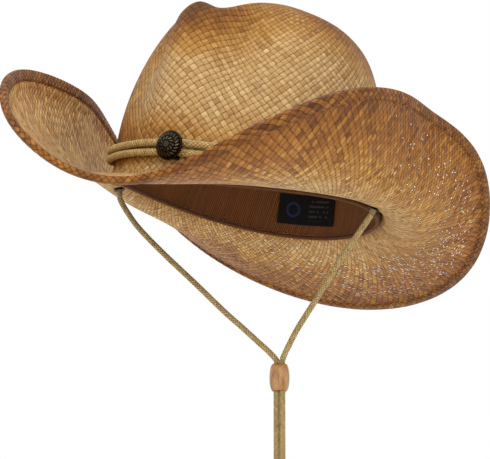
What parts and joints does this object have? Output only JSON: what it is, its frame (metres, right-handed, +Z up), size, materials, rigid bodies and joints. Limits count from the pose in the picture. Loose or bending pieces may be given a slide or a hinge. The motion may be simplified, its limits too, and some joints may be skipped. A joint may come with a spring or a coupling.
{
  "type": "cowboy hat",
  "caption": "Western straw hat with a pinched teardrop crown, curled brim, braided cord band and a chin cord with a slide bead.",
  "frame": {"origin": "middle of the head opening, level with where the crown meets the brim", "axes": "+Z up out of the crown, -Y towards the front of the hat, +X towards the wearer's left"},
  "size_m": [0.272, 0.3806, 0.3446],
  "materials": {
    "raffia_straw": "woven raffia, light tan with toasted brown ridges and rim",
    "toasted_raffia": "folded raffia strip dyed brown",
    "spring_steel": "drawn wire",
    "ribbed_fabric": "ribbed grosgrain, dark brown",
    "piping_fabric": "corded edge, brown",
    "label_cloth": "damask woven label, near black, with plain woven lines",
    "khaki_braid": "round braided cotton, khaki",
    "olive_braid": "round braided cotton, olive khaki",
    "antique_brass": "darkened antique brass, satin",
    "turned_wood": "turned beech, oiled"
  },
  "bodies": {
    "hat": {"raffia_body": "raffia_straw", "brim_edge_hem": "toasted_raffia", "brim_wire": "spring_steel", "wire_ferrule": "spring_steel", "sweatband": "ribbed_fabric", "sweatband_piping": "piping_fabric", "woven_label": "label_cloth", "hatband_cord_lower": "khaki_braid", "hatband_cord_upper": "khaki_braid", "concho_dome": "antique_brass", "concho_keeper": "antique_brass", "eyelet_left": "antique_brass", "eyelet_right": "antique_brass", "eyelet_washer_left": "antique_brass", "eyelet_washer_right": "antique_brass", "stopper_knot_left": "olive_braid", "stopper_knot_right": "olive_braid"},
    "chin_cord": {"chin_cord_left": "olive_braid", "chin_cord_right": "olive_braid", "tail_knot": "olive_braid", "cord_end_left": "olive_braid", "cord_end_right": "olive_braid"},
    "bead": {"slide_bead": "turned_wood"}
  },
  "joints": [
    {"name": "chin_cord_swing", "type": "hinge", "parent": "hat", "child": "chin_cord", "pos_m": [0, -0.008, -0.00154], "axis": [1, 0, 0], "range_deg": [-70, 70]},
    {"name": "bead_slide", "type": "slide", "parent": "chin_cord", "child": "bead", "axis": [0.1628, 0, -0.9867], "range_m": [0, 0.035]}
  ]
}
